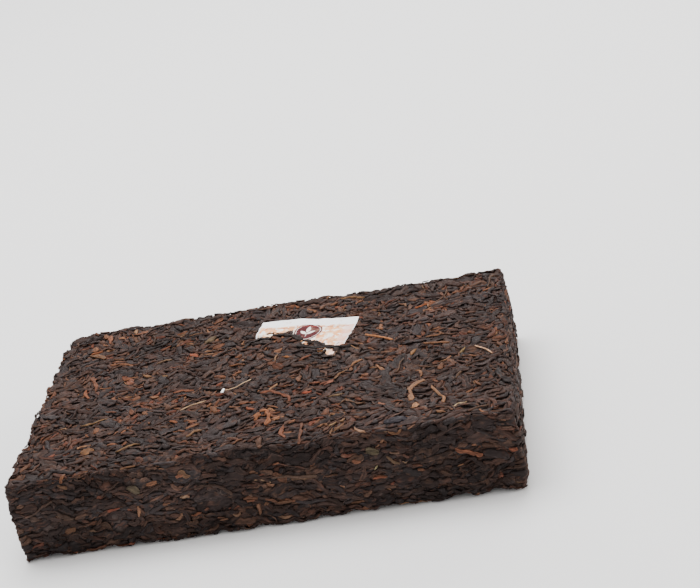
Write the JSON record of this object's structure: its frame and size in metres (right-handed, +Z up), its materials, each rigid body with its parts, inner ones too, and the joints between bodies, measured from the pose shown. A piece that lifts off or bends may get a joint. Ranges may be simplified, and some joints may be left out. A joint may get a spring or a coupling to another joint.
{
  "type": "pressed tea brick",
  "caption": "Flat rectangular brick of pressed dark ripe pu-erh tea leaf, with a small printed paper ticket half buried in its top face.",
  "frame": {"origin": "centre of the underside", "axes": "+Z up out of the face with the ticket, +X along the brick's length, +Y towards the long side nearer the ticket"},
  "size_m": [0.1422, 0.0938, 0.0255],
  "materials": {
    "pressed_leaf": "matt, dry pressed leaf strands, nearly black with brown, russet and tan strands among them",
    "ticket_paper": "matt thin paper with a white border and a mottled peach print"
  },
  "bodies": {
    "root": {"tea_brick": "pressed_leaf", "paper_ticket": "ticket_paper"}
  },
  "joints": []
}
